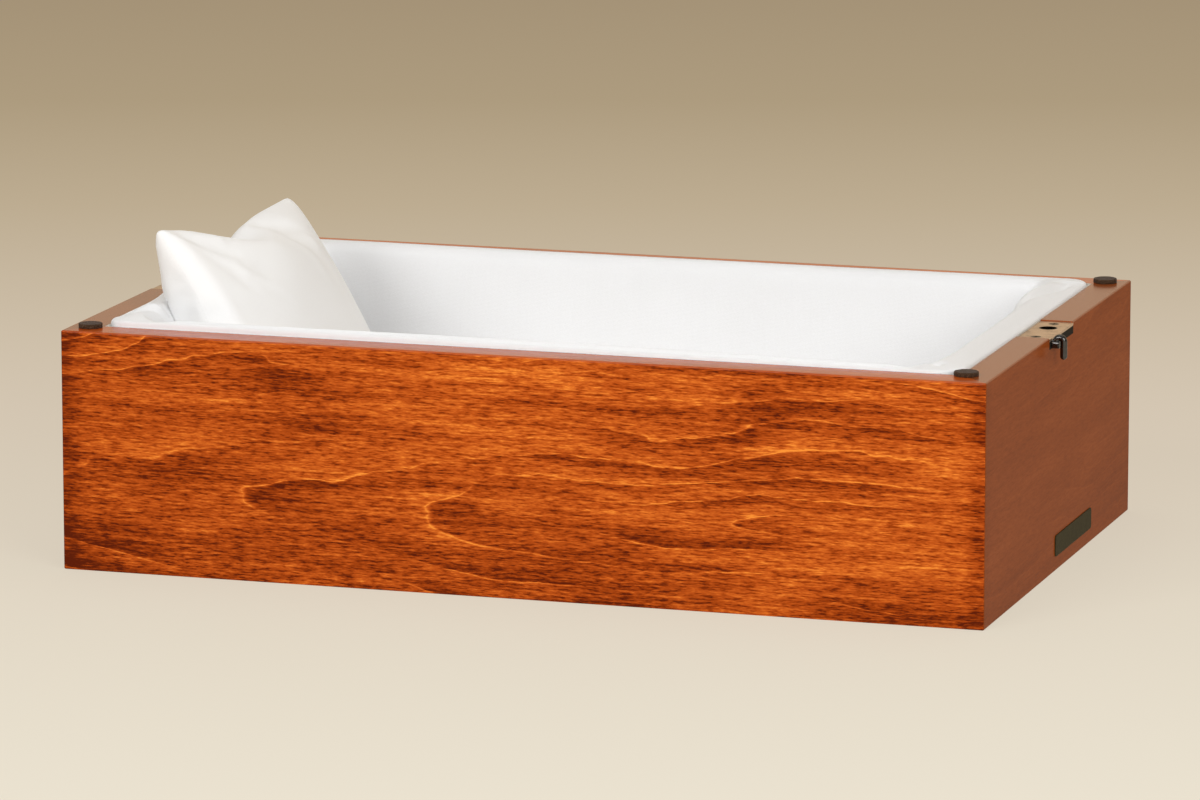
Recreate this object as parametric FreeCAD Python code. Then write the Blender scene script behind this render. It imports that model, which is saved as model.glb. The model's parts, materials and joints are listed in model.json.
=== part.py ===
import FreeCAD, Part
import math
import os

from FreeCAD import Vector

# Open wooden case with a padded cloth lining, a pillow and a lift-off lid's catches.
# Millimetres. X runs along the long side, Y from front to back, Z up.
# The origin is the middle of the footprint, on the surface that the case stands on.

# --- the wooden box ---
BOX_LENGTH = 532.0
BOX_DEPTH = 336.0
BOX_HEIGHT = 136.0
BOARD = 19.0            # thickness of the four mitred side boards
ARRIS = 1.0             # rounding of the box's outer edges
OVERRUN = 1.0           # how far a cut runs past the face that it opens

# --- bottom panel, held in a groove ---
BOTTOM_THICK = 6.0
BOTTOM_LIFT = 8.0       # height of the groove's lower face
GROOVE_DEPTH = 6.0
PANEL_PLAY = 0.4        # gap at the panel's edges
PANEL_CLEAR = 0.2       # gap above the panel in its groove

# --- corner splines, hidden in the mitres ---
SPLINE_THICK = 3.0
SPLINE_WIDTH = 12.0
SPLINE_MARGIN = 20.0    # wood left above and below the spline
SPLINE_SEAT = 9.0       # from the inner corner to the spline, along the mitre
SPLINE_CLEAR = 0.1

# --- lining: card, padding and cloth ---
CARD = 1.6
SIDE_PAD = 8.0          # padding on the front and back walls
END_PAD = 22.0          # fuller padding on the two end walls
SIDE_PAD_RISE = 2.5     # how far the padding stands above the rim
END_PAD_RISE = 1.5
SIDE_PAD_ROLL = 3.0     # rounding of the padding's top edges
SIDE_PAD_CORNER = 7.5   # rounding in the case's corners, seen from above
END_PAD_ROLL = 12.0
SOFT_CLEAR = 0.3        # gap between soft pieces and their neighbours

# --- staples that hold the cards ---
STAPLE_CROWN = 10.0
STAPLE_LEG = 8.0
STAPLE_WIRE = 1.2
STAPLE_GAUGE = 0.7
STAPLE_EDGE = 12.0      # from the card's edge to the staple
STAPLES_SIDE = 5        # in each of the two rows of a long card
STAPLES_END = 3

# --- bed pad ---
BED_PAD = 22.0
BED_ROLL = 7.0

# --- pillow ---
PILLOW_HEIGHT = 168.0
PILLOW_THICK = 62.0
PILLOW_FRONT_GAP = 22.0     # from the front padding to the pillow
PILLOW_BACK_GAP = 50.0
PILLOW_WAIST = 9.0          # how far each side is drawn in between the corners
PILLOW_SEAM = 3.0           # thickness at the seam
PILLOW_LEAN = 30.0          # degrees from upright
PILLOW_HEAD_GAP = 1.0       # from the end padding to the leaning edge

# --- rim bumpers ---
BUMPER_DIAMETER = 13.5
BUMPER_THICK = 2.5
BUMPER_ROUND = 0.5
# each bumper's centre, measured inwards from the nearest end and long side
BUMPER_SEATS = {
    "front_left": (-1, -1, 12.5, 14.0),
    "front_right": (1, -1, 16.0, 19.0),
    "back_left": (-1, 1, 14.0, 15.0),
    "back_right": (1, 1, 12.5, 12.5),
}

# --- lid catch, one in the middle of each end's rim ---
PLATE_LENGTH = 55.0
PLATE_THICK = 1.5
PLATE_DROP = 0.8        # the plate lies this far below the rim
PLATE_CLEAR = 0.2       # around the plate and the tray
PIN_HOLE_RADIUS = 4.7
PIN_HOLE_OFFSET = 7.5   # from the plate's middle, towards the back
PIN_WELL_RADIUS = 5.3   # hole below the plate, for the pin's head
PIN_WELL_DEPTH = 8.0    # in the wood, below the tray
TRAY_WALL = 0.8
TRAY_HEIGHT = 4.4
TRAY_SETBACK = 2.0      # wood left between the tray and the lining
BOLT_THICK = 3.0
BOLT_TRAVEL = 9.0
BOLT_CLEAR = 0.3
ARM_CLEAR = 1.2         # from the bolt's arm to the screw, and past the finger's tenon
FORK_SLOT = 5.4         # width of the slot that grips the pin's neck
FORK_HEEL = 4.0         # metal behind the slot
SCREW_INSET = 6.9       # from the plate's end to the screw's middle
SCREW_RADIUS = 1.75
SCREW_HEAD_RADIUS = 2.9
SCREW_LENGTH = 16.0
SCREW_POINT = 4.0
SCREW_CLEAR = 0.05
SCREW_SLOT = (0.8, 0.7)     # width and depth of the cross recess

# --- finger that moves the bolt ---
FINGER_INSET = 6.0      # from the plate's front end
FINGER_RADIUS = 2.0
NECK_RADIUS = 1.5
TENON_RADIUS = 1.0
TENON_LENGTH = 4.0
BOSS_RADIUS = 2.6
BOSS_LENGTH = 4.1
BOSS_ROUND = 0.65
ARCH_RISE = 1.4         # straight part from the boss up to the arch
ARCH_RADIUS = 2.15
LEG_LENGTH = 8.1       # straight part of the finger that hangs down
SLOT_MARGIN = 0.8       # from the neck to each end of its slot

# --- blank name strip on the right end ---
STRIP_LENGTH = 84.0
STRIP_HEIGHT = 12.0
STRIP_THICK = 0.6
STRIP_CORNER = 2.0
STRIP_LIFT = 8.5        # from the base to the strip
STRIP_OFFSET = 32.0     # from the end's middle to the strip's middle, towards the back

HALF_X = BOX_LENGTH / 2
HALF_Y = BOX_DEPTH / 2
INNER_X = HALF_X - BOARD
INNER_Y = HALF_Y - BOARD
FLOOR_Z = BOTTOM_LIFT + BOTTOM_THICK
SIDE_PAD_FACE = INNER_Y - CARD - SOFT_CLEAR - SIDE_PAD
END_PAD_FACE = INNER_X - CARD - SOFT_CLEAR - END_PAD
BED_Z = FLOOR_Z + SOFT_CLEAR + BED_PAD
PLATE_TOP = BOX_HEIGHT - PLATE_DROP
PLATE_UNDER = PLATE_TOP - PLATE_THICK
TRAY_UNDER = PLATE_UNDER - TRAY_HEIGHT
CATCH_X = HALF_X - BOARD / 2
SCREW_Y = PLATE_LENGTH / 2 - SCREW_INSET
FINGER_Y = FINGER_INSET - PLATE_LENGTH / 2
BOLT_MID = PLATE_UNDER - (TRAY_HEIGHT - TRAY_WALL) / 2
SINK = SCREW_HEAD_RADIUS - SCREW_RADIUS     # depth of the screw's countersink


def block(x, y, z):
    """Box between the two values given for each axis."""
    return Part.makeBox(x[1] - x[0], y[1] - y[0], z[1] - z[0], Vector(x[0], y[0], z[0]))


def rod(radius, start, direction, length):
    return Part.makeCylinder(radius, length, Vector(*start), Vector(*direction))


def turned(shape):
    """The same piece at the other end of the case, turned half round."""
    return shape.rotated(Vector(0, 0, 0), Vector(0, 0, 1), 180)


def edges_where(shape, test):
    return [edge for edge in shape.Edges if test(edge)]


def save(name, *solids):
    shape = solids[0] if len(solids) == 1 else Part.makeCompound(list(solids))
    shape.exportStep("parts/" + name + ".step")


# ---------------------------------------------------------------- wooden box

def rounded_outline():
    """The box's outer form, with its arrises eased."""
    form = block((-HALF_X, HALF_X), (-HALF_Y, HALF_Y), (0, BOX_HEIGHT))
    return form.makeFillet(ARRIS, form.Edges)


def mitred(corners):
    """A board with the given plan, cut out of the rounded outline."""
    points = [Vector(x, y, -OVERRUN) for x, y in corners]
    plan = Part.Face(Part.makePolygon(points + points[:1]))
    return plan.extrude(Vector(0, 0, BOX_HEIGHT + 2 * OVERRUN)).common(rounded_outline())


def bottom_space(play, clear):
    """The bottom panel's own room, less the given play."""
    reach = GROOVE_DEPTH - play
    return block(
        (-INNER_X - reach, INNER_X + reach),
        (-INNER_Y - reach, INNER_Y + reach),
        (BOTTOM_LIFT, FLOOR_Z + clear),
    )


def spline(side_x, side_y, clear):
    """A key across the mitre of one corner, grown by the given clearance."""
    half_width = SPLINE_WIDTH / 2 + clear
    half_thick = SPLINE_THICK / 2 + clear
    key = block(
        (-half_thick, half_thick),
        (-half_width, half_width),
        (SPLINE_MARGIN - clear, BOX_HEIGHT - SPLINE_MARGIN + clear),
    )
    key.rotate(Vector(0, 0, 0), Vector(0, 0, 1), 45 * side_x * side_y)
    along = SPLINE_SEAT / math.sqrt(2)
    key.translate(Vector(side_x * (INNER_X + along), side_y * (INNER_Y + along), 0))
    return key


def staple(x, y, z, inwards):
    """A staple driven outwards through a card; inwards is the side it is driven from."""
    crown = STAPLE_CROWN / 2
    wire = STAPLE_WIRE / 2
    along_x = inwards[0] == 0

    def bar(along, deep, out):
        if along_x:
            span = sorted((y - inwards[1] * deep, y - inwards[1] * out))
            return block((x + along[0], x + along[1]), span, (z - wire, z + wire))
        span = sorted((x - inwards[0] * deep, x - inwards[0] * out))
        return block(span, (y + along[0], y + along[1]), (z - wire, z + wire))

    left_leg = bar((-crown, -crown + STAPLE_WIRE), 0, STAPLE_LEG)
    right_leg = bar((crown - STAPLE_WIRE, crown), 0, STAPLE_LEG)
    top = bar((-crown, crown), 0, STAPLE_GAUGE)
    return top.fuse([left_leg, right_leg]).removeSplitter()


def staple_rows(count, reach):
    """Places along a card, evenly spread up to the given reach each way."""
    return [reach * (2 * i / (count - 1) - 1) for i in range(count)]


def all_staples():
    """The staples of each wall, by the wall's name."""
    heights = (FLOOR_Z + STAPLE_EDGE, BOX_HEIGHT - STAPLE_EDGE)
    face_x = INNER_X - CARD
    face_y = INNER_Y - CARD
    side_reach = INNER_X - 2 * STAPLE_EDGE
    end_reach = INNER_Y - 2 * STAPLE_EDGE
    found = {}
    for name, side in (("front", -1), ("back", 1)):
        places = staple_rows(STAPLES_SIDE, side_reach)
        found[name] = [staple(x, side * face_y, z, (0, -side)) for x in places for z in heights]
    for name, side in (("left_end", -1), ("right_end", 1)):
        places = staple_rows(STAPLES_END, end_reach)
        # the upper row stays clear of the catch in the middle of the rim
        pairs = [(y, z) for y in places for z in heights if y or z == heights[0]]
        found[name] = [staple(side * face_x, y, z, (-side, 0)) for y, z in pairs]
    return found


# ---------------------------------------------------------------- lid catch, right end

def screw_places():
    return [(CATCH_X, side * SCREW_Y) for side in (-1, 1)]


def screw(x, y):
    """A countersunk wood screw with a cross recess, head up."""
    head = Part.makeCone(SCREW_RADIUS, SCREW_HEAD_RADIUS, SINK, Vector(x, y, PLATE_TOP - SINK))
    shank_length = SCREW_LENGTH - SINK - SCREW_POINT
    shank_end = PLATE_TOP - SINK - shank_length
    shank = rod(SCREW_RADIUS, (x, y, shank_end), (0, 0, 1), shank_length)
    point = Part.makeCone(0, SCREW_RADIUS, SCREW_POINT, Vector(x, y, shank_end - SCREW_POINT))
    body = head.fuse([shank, point]).removeSplitter()
    width, depth = SCREW_SLOT
    reach = SCREW_HEAD_RADIUS - width
    for span_x, span_y in ((reach, width / 2), (width / 2, reach)):
        body = body.cut(block((x - span_x, x + span_x), (y - span_y, y + span_y),
                              (PLATE_TOP - depth, PLATE_TOP + OVERRUN)))
    return body


def screw_hole(x, y):
    """Room for a screw through the plate, the tray and into the wood."""
    radius = SCREW_RADIUS + SCREW_CLEAR
    depth = SCREW_LENGTH + SCREW_CLEAR
    hole = rod(radius, (x, y, PLATE_TOP - depth), (0, 0, 1), depth + OVERRUN)
    sunk = Part.makeCone(radius, SCREW_HEAD_RADIUS + SCREW_CLEAR, SINK, Vector(x, y, PLATE_TOP - SINK))
    return hole.fuse(sunk)


def catch_recess():
    """What is cut out of the right end board for the catch."""
    half = PLATE_LENGTH / 2 + PLATE_CLEAR
    seat = block(
        (INNER_X - OVERRUN, HALF_X + OVERRUN),
        (-half, half),
        (PLATE_UNDER, BOX_HEIGHT + OVERRUN),
    )
    mortise = block(
        (INNER_X + TRAY_SETBACK - PLATE_CLEAR, HALF_X + OVERRUN),
        (-half, half),
        (TRAY_UNDER, PLATE_UNDER + OVERRUN),
    )
    well = rod(PIN_WELL_RADIUS, (CATCH_X, PIN_HOLE_OFFSET, TRAY_UNDER - PIN_WELL_DEPTH),
               (0, 0, 1), PIN_WELL_DEPTH + OVERRUN)
    return seat.fuse([mortise, well] + [screw_hole(x, y) for x, y in screw_places()])


def catch_plate():
    half = PLATE_LENGTH / 2
    plate = block((INNER_X, HALF_X), (-half, half), (PLATE_UNDER, PLATE_TOP))
    hole = rod(PIN_HOLE_RADIUS, (CATCH_X, PIN_HOLE_OFFSET, PLATE_UNDER - OVERRUN),
               (0, 0, 1), PLATE_THICK + 2 * OVERRUN)
    return plate.cut([hole] + [screw_hole(x, y) for x, y in screw_places()])


def finger_slot():
    """The opening in the tray's outer wall that the finger's neck runs in."""
    reach = NECK_RADIUS + SLOT_MARGIN
    return block(
        (HALF_X - 2 * TRAY_WALL, HALF_X + OVERRUN),
        (FINGER_Y - reach, FINGER_Y + BOLT_TRAVEL + reach),
        (TRAY_UNDER + TRAY_WALL, PLATE_UNDER + OVERRUN),
    )


def catch_tray():
    """A folded tray below the plate, with the finger's slot in its outer wall."""
    half = PLATE_LENGTH / 2
    inner = INNER_X + TRAY_SETBACK
    tray = block((inner, HALF_X), (-half, half), (TRAY_UNDER, PLATE_UNDER))
    room = block(
        (inner + TRAY_WALL, HALF_X - TRAY_WALL),
        (-half + TRAY_WALL, half - TRAY_WALL),
        (TRAY_UNDER + TRAY_WALL, PLATE_UNDER + OVERRUN),
    )
    well = rod(PIN_WELL_RADIUS, (CATCH_X, PIN_HOLE_OFFSET, TRAY_UNDER - OVERRUN),
               (0, 0, 1), TRAY_HEIGHT)
    holes = [screw_hole(x, y) for x, y in screw_places()]
    return tray.cut([room, well, finger_slot()] + holes)


def catch_bolt():
    """A forked plate with an arm that carries the finger, open and clear of the pin hole."""
    low = INNER_X + TRAY_SETBACK + TRAY_WALL + BOLT_CLEAR
    high = HALF_X - TRAY_WALL - BOLT_CLEAR
    tip = PIN_HOLE_OFFSET - PIN_HOLE_RADIUS - BOLT_CLEAR
    slot_end = PIN_HOLE_OFFSET - BOLT_TRAVEL
    heel = slot_end - FORK_SLOT / 2 - FORK_HEEL
    arm_inner = CATCH_X + SCREW_RADIUS + SCREW_CLEAR + ARM_CLEAR
    arm_end = FINGER_Y - TENON_RADIUS - ARM_CLEAR
    z = (BOLT_MID - BOLT_THICK / 2, BOLT_MID + BOLT_THICK / 2)
    fork = block((low, high), (heel, tip), z)
    arm = block((arm_inner, high), (arm_end, heel + OVERRUN), z)
    slot = block((CATCH_X - FORK_SLOT / 2, CATCH_X + FORK_SLOT / 2), (slot_end, tip + OVERRUN),
                 (z[0] - OVERRUN, z[1] + OVERRUN))
    slot_round = rod(FORK_SLOT / 2, (CATCH_X, slot_end, z[0] - OVERRUN),
                     (0, 0, 1), BOLT_THICK + 2 * OVERRUN)
    bore = rod(TENON_RADIUS, (high - TENON_LENGTH, FINGER_Y, BOLT_MID),
               (1, 0, 0), TENON_LENGTH + OVERRUN)
    return fork.fuse(arm).removeSplitter().cut([slot, slot_round, bore])


def catch_finger():
    """Tenon, neck and boss, then a rod that arches over and hangs down outside."""
    y = FINGER_Y
    bolt_edge = HALF_X - TRAY_WALL - BOLT_CLEAR
    boss_start = HALF_X + BOLT_CLEAR
    tenon = rod(TENON_RADIUS, (bolt_edge - TENON_LENGTH, y, BOLT_MID), (1, 0, 0), TENON_LENGTH)
    neck = rod(NECK_RADIUS, (bolt_edge, y, BOLT_MID), (1, 0, 0), boss_start - bolt_edge)
    boss = rod(BOSS_RADIUS, (boss_start, y, BOLT_MID), (1, 0, 0), BOSS_LENGTH)
    rim = edges_where(boss, lambda edge: edge.BoundBox.XMin > boss_start + BOSS_LENGTH / 2
                      and len(edge.Vertexes) == 1)
    boss = boss.makeFillet(BOSS_ROUND, rim)
    foot = boss_start + BOSS_LENGTH / 2
    top = BOLT_MID + ARCH_RISE
    rise = rod(FINGER_RADIUS, (foot, y, BOLT_MID), (0, 0, 1), ARCH_RISE)
    circle = Part.Wire(Part.makeCircle(FINGER_RADIUS, Vector(foot, y, top), Vector(0, 0, 1)))
    arch = Part.Face(circle).revolve(Vector(foot + ARCH_RADIUS, y, top), Vector(0, 1, 0), 180)
    leg_x = foot + 2 * ARCH_RADIUS
    leg = rod(FINGER_RADIUS, (leg_x, y, top - LEG_LENGTH), (0, 0, 1), LEG_LENGTH)
    tip = Part.makeSphere(FINGER_RADIUS, Vector(leg_x, y, top - LEG_LENGTH))
    return tenon.fuse([neck, boss, rise, arch, leg, tip]).removeSplitter()


# ---------------------------------------------------------------- soft pieces

def liner_card(name):
    """The stiff card behind one wall's padding."""
    z = (FLOOR_Z + PANEL_CLEAR, BOX_HEIGHT)
    if name == "front":
        return block((-INNER_X, INNER_X), (-INNER_Y, -INNER_Y + CARD), z)
    if name == "back":
        return block((-INNER_X, INNER_X), (INNER_Y - CARD, INNER_Y), z)
    x = (INNER_X - CARD, INNER_X)
    card = block(x, (-INNER_Y + CARD, INNER_Y - CARD), z)
    return card if name == "right_end" else turned(card)


def side_pad(side):
    """Padding on a long wall, with its top edges rolled."""
    outer = INNER_Y - CARD - SOFT_CLEAR
    y = sorted((side * outer, side * SIDE_PAD_FACE))
    reach = INNER_X - CARD - SOFT_CLEAR
    top = BOX_HEIGHT + SIDE_PAD_RISE
    pad = block((-reach, reach), y, (FLOOR_Z + SOFT_CLEAR, top))
    corners = edges_where(pad, lambda edge: edge.BoundBox.ZLength > top / 2
                          and abs(edge.BoundBox.Center.y - side * outer) < SOFT_CLEAR)
    pad = pad.makeFillet(SIDE_PAD_CORNER, corners)
    rolls = edges_where(pad, lambda edge: edge.BoundBox.ZMin > top - SOFT_CLEAR
                        and edge.BoundBox.XLength > SOFT_CLEAR)
    return pad.makeFillet(SIDE_PAD_ROLL, rolls)


def end_pad():
    """Fuller padding on the right end wall, rolled over towards the inside."""
    outer = INNER_X - CARD - SOFT_CLEAR
    reach = SIDE_PAD_FACE - SOFT_CLEAR
    top = BOX_HEIGHT + END_PAD_RISE
    pad = block((END_PAD_FACE, outer), (-reach, reach), (FLOOR_Z + SOFT_CLEAR, top))
    inner_roll = edges_where(pad, lambda edge: edge.BoundBox.ZMin > top - SOFT_CLEAR
                             and edge.BoundBox.XMax < END_PAD_FACE + SOFT_CLEAR)
    return pad.makeFillet(END_PAD_ROLL, inner_roll)


def bed_pad():
    reach_x = END_PAD_FACE - SOFT_CLEAR
    reach_y = SIDE_PAD_FACE - SOFT_CLEAR
    pad = block((-reach_x, reach_x), (-reach_y, reach_y), (FLOOR_Z + SOFT_CLEAR, BED_Z))
    rim = edges_where(pad, lambda edge: edge.BoundBox.ZMin > BED_Z - SOFT_CLEAR)
    return pad.makeFillet(BED_ROLL, rim)


def pillow():
    """A stuffed pillow that leans on the left end's padding."""
    width = 2 * SIDE_PAD_FACE - PILLOW_FRONT_GAP - PILLOW_BACK_GAP
    middle_y = (PILLOW_FRONT_GAP - PILLOW_BACK_GAP) / 2
    shares = (0.0, 0.1, 0.28, 0.5, 0.72, 0.9, 1.0)
    sections = []
    for share in shares:
        bulge = math.sin(math.pi * share)
        half_width = width / 2 - PILLOW_WAIST * bulge
        half_thick = PILLOW_SEAM / 2 + (PILLOW_THICK - PILLOW_SEAM) / 2 * math.sqrt(bulge)
        z = PILLOW_HEIGHT * share
        left, right = Vector(0, middle_y - half_width, z), Vector(0, middle_y + half_width, z)
        front, back = Vector(half_thick, middle_y, z), Vector(-half_thick, middle_y, z)
        sections.append(Part.Wire([Part.Arc(left, front, right).toShape(),
                                   Part.Arc(right, back, left).toShape()]))
    body = Part.makeLoft(sections, True, True)
    body.rotate(Vector(0, 0, 0), Vector(0, 1, 0), -PILLOW_LEAN)
    box = body.BoundBox
    body.translate(Vector(-END_PAD_FACE + PILLOW_HEAD_GAP - box.XMin, 0, BED_Z + SOFT_CLEAR - box.ZMin))
    return body


def bumper(side_x, side_y, from_end, from_side):
    """A felt disc on the rim."""
    place = (side_x * (HALF_X - from_end), side_y * (HALF_Y - from_side), BOX_HEIGHT)
    disc = rod(BUMPER_DIAMETER / 2, place, (0, 0, 1), BUMPER_THICK)
    top = edges_where(disc, lambda edge: edge.BoundBox.ZMin > BOX_HEIGHT + BUMPER_THICK / 2
                      and len(edge.Vertexes) == 1)
    return disc.makeFillet(BUMPER_ROUND, top)


def name_strip():
    """A plain strip on the right end, with nothing on it."""
    y = STRIP_OFFSET - STRIP_LENGTH / 2, STRIP_OFFSET + STRIP_LENGTH / 2
    strip = block((HALF_X, HALF_X + STRIP_THICK), y, (STRIP_LIFT, STRIP_LIFT + STRIP_HEIGHT))
    corners = edges_where(strip, lambda edge: edge.BoundBox.YLength < 0.01 and edge.BoundBox.ZLength < 0.01)
    return strip.makeFillet(STRIP_CORNER, corners)


# ---------------------------------------------------------------- build

def main():
    os.makedirs("parts", exist_ok=True)
    outer = (HALF_X, HALF_Y)
    inner = (INNER_X, INNER_Y)
    corner_signs = {
        "front": ((-1, -1), (1, -1)),
        "right_end": ((1, -1), (1, 1)),
        "back": ((1, 1), (-1, 1)),
        "left_end": ((-1, 1), (-1, -1)),
    }
    staples = all_staples()
    recess = catch_recess()
    groove = bottom_space(0, PANEL_CLEAR)
    for name, (start, end) in corner_signs.items():
        plan = [(outer[0] * start[0], outer[1] * start[1]), (outer[0] * end[0], outer[1] * end[1]),
                (inner[0] * end[0], inner[1] * end[1]), (inner[0] * start[0], inner[1] * start[1])]
        cuts = [groove] + [spline(*corner, SPLINE_CLEAR) for corner in (start, end)] + staples[name]
        if name == "right_end":
            cuts.append(recess)
        if name == "left_end":
            cuts.append(turned(recess))
        save(name + "_board", mitred(plan).cut(cuts))
        save(name + "_liner_card", liner_card(name).cut(staples[name]))
    save("bottom_board", bottom_space(PANEL_PLAY, 0))
    save("liner_staples", *[one for wall in staples.values() for one in wall])
    for label, seat in BUMPER_SEATS.items():
        save("corner_spline_" + label, spline(seat[0], seat[1], 0))
        save("bumper_" + label, bumper(*seat))

    save("front_liner_pad", side_pad(-1))
    save("back_liner_pad", side_pad(1))
    save("bed_pad", bed_pad())
    save("pillow", pillow())
    save("blank_name_strip", name_strip())

    right_end_pieces = {
        "liner_pad": [end_pad()],
        "catch_plate": [catch_plate()],
        "catch_tray": [catch_tray()],
        "catch_bolt": [catch_bolt()],
        "catch_finger": [catch_finger()],
        "catch_screws": [screw(x, y) for x, y in screw_places()],
    }
    for name, solids in right_end_pieces.items():
        save("right_" + name, *solids)
        save("left_" + name, *[turned(solid) for solid in solids])


main()
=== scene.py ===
import json
import math

import bmesh
import bpy
from mathutils import Matrix, Vector, noise


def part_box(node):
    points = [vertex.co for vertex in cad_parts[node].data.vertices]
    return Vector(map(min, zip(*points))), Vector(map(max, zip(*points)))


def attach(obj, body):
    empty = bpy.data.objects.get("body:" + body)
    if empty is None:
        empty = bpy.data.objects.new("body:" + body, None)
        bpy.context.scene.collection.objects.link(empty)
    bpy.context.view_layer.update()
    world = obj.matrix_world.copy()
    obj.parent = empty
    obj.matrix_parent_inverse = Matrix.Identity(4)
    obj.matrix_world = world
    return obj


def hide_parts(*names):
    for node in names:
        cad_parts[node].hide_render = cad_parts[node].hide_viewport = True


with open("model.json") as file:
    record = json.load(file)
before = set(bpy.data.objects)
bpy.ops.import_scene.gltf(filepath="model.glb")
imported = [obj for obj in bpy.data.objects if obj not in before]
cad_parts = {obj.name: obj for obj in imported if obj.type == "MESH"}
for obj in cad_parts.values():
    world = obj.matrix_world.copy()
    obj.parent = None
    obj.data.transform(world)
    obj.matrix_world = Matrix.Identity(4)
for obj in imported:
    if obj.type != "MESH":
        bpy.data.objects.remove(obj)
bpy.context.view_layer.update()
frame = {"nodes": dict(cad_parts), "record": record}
scene = bpy.context.scene

# ---------------------------------------------------------------- places, from the frame

FRONT_LOW, FRONT_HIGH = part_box("front_board")
END_LOW, END_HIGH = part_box("right_end_board")
RIM = FRONT_HIGH.z                  # height of the boards' top edge
OUTER_X = END_HIGH.x
OUTER_Y = -FRONT_LOW.y
INNER_X = END_LOW.x                 # the boards' inner faces
INNER_Y = -FRONT_HIGH.y
PAD_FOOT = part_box("front_liner_pad")[0].z

MM = 0.001

PIN_HOLE = next(mount for mount in frame["record"]["mounts"] if mount["name"] == "right_pin_hole")
HOLE_X, HOLE_Y = PIN_HOLE["pos_m"][0], PIN_HOLE["pos_m"][1]
HOLE_RADIUS = PIN_HOLE["dims"]["r_mm"] * MM


# ---------------------------------------------------------------- shader maths

class Wire:
    """An output in a shader tree. Arithmetic on wires adds Math nodes."""

    def __init__(self, shader, socket):
        self.shader = shader
        self.socket = socket

    def math(self, operation, *values):
        return self.shader.node("ShaderNodeMath", {"operation": operation}, dict(enumerate(values)))

    def __add__(self, other):
        return self.math("ADD", self, other)

    def __sub__(self, other):
        return self.math("SUBTRACT", self, other)

    def __rsub__(self, other):
        return self.math("SUBTRACT", other, self)

    def __mul__(self, other):
        return self.math("MULTIPLY", self, other)

    def __truediv__(self, other):
        return self.math("DIVIDE", self, other)

    def __pow__(self, other):
        return self.math("POWER", self, other)

    def __abs__(self):
        return self.math("ABSOLUTE", self)

    __radd__ = __add__
    __rmul__ = __mul__

    def fraction(self):
        return self.math("FRACT", self)

    def sine(self):
        return self.math("SINE", self)

    def at_least(self, other):
        return self.math("MAXIMUM", self, other)

    def step(self, low, high):
        """0 below low, 1 above high and smooth between."""
        settings = {"interpolation_type": "SMOOTHSTEP"}
        return self.shader.node("ShaderNodeMapRange", settings, {"Value": self, 1: low, 2: high})


class Nodes:
    """Makes the nodes of a material or of the world."""

    def __init__(self, owner):
        owner.use_nodes = True
        self.tree = owner.node_tree
        self.tree.nodes.clear()

    def end_in(self, kind, surface):
        output = self.tree.nodes.new(kind)
        self.tree.links.new(surface, output.inputs[0])

    def node(self, kind, settings=None, inputs=None, output=0):
        made = self.tree.nodes.new(kind)
        for name, value in (settings or {}).items():
            if name == "stops":
                self.set_stops(made.color_ramp, value)
            else:
                setattr(made, name, value)
        for name, value in (inputs or {}).items():
            if isinstance(value, Wire):
                self.tree.links.new(value.socket, made.inputs[name])
            else:
                made.inputs[name].default_value = value
        return Wire(self, made.outputs[output])

    @staticmethod
    def set_stops(ramp, stops):
        while len(ramp.elements) < len(stops):
            ramp.elements.new(1.0)
        for element, (place, colour) in zip(ramp.elements, stops):
            element.position = place
            element.color = (*colour, 1.0)

    def noise(self, x, y, z, detail=2.0, roughness=0.5):
        """Noise from 0 to 1, one cycle long in each of the three values."""
        place = self.node("ShaderNodeCombineXYZ", inputs={0: x, 1: y, 2: z})
        inputs = {"Vector": place, "Scale": 1.0, "Detail": detail, "Roughness": roughness}
        return self.node("ShaderNodeTexNoise", inputs=inputs)

    def ramp(self, value, stops):
        return self.node("ShaderNodeValToRGB", {"stops": stops}, {0: value})


class Shader(Nodes):
    """A material's nodes, ending in one Principled shader."""

    def __init__(self, name, **constants):
        self.material = bpy.data.materials.new(name)
        super().__init__(self.material)
        self.principled = self.tree.nodes.new("ShaderNodeBsdfPrincipled")
        self.end_in("ShaderNodeOutputMaterial", self.principled.outputs[0])
        for socket, value in constants.items():
            self.principled.inputs[socket.replace("_", " ")].default_value = value
        place = self.node("ShaderNodeTexCoord", output="Object")
        self.x, self.y, self.z = (
            self.node("ShaderNodeSeparateXYZ", inputs={0: place}, output=axis) for axis in range(3))

    def mix(self, share, first, second):
        """Colour between first and second; colours are wires or (r, g, b)."""
        inputs = {0: share}
        for index, colour in ((6, first), (7, second)):
            inputs[index] = colour if isinstance(colour, Wire) else (*colour, 1.0)
        return self.node("ShaderNodeMix", {"data_type": "RGBA"}, inputs, output=2)

    def bump(self, height, distance, strength=1.0):
        inputs = {"Strength": strength, "Distance": distance, "Height": height}
        self.feed(Normal=self.node("ShaderNodeBump", inputs=inputs))

    def feed(self, **links):
        for socket, wire in links.items():
            self.tree.links.new(wire.socket, self.principled.inputs[socket.replace("_", " ")])


# ---------------------------------------------------------------- materials

WARM_STOPS = (
    (0.0, (0.10, 0.011, 0.0015)),
    (0.25, (0.265, 0.036, 0.002)),
    (0.5, (0.45, 0.075, 0.007)),
    (0.75, (0.64, 0.140, 0.016)),
    (1.0, (0.85, 0.27, 0.035)),
)
# Painted shade: the end boards have the front's stain, coloured darker and browner for the shade on their
# faces.
END_SHADE_STOPS = (
    (0.0, (0.128, 0.026, 0.0055)),
    (0.5, (0.257, 0.060, 0.012)),
    (1.0, (0.41, 0.110, 0.0275)),
)
FACE_POLISH = 0.22          # coat on the upright faces; the rim has the full coat
RINGS_A_METRE = 92


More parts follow.
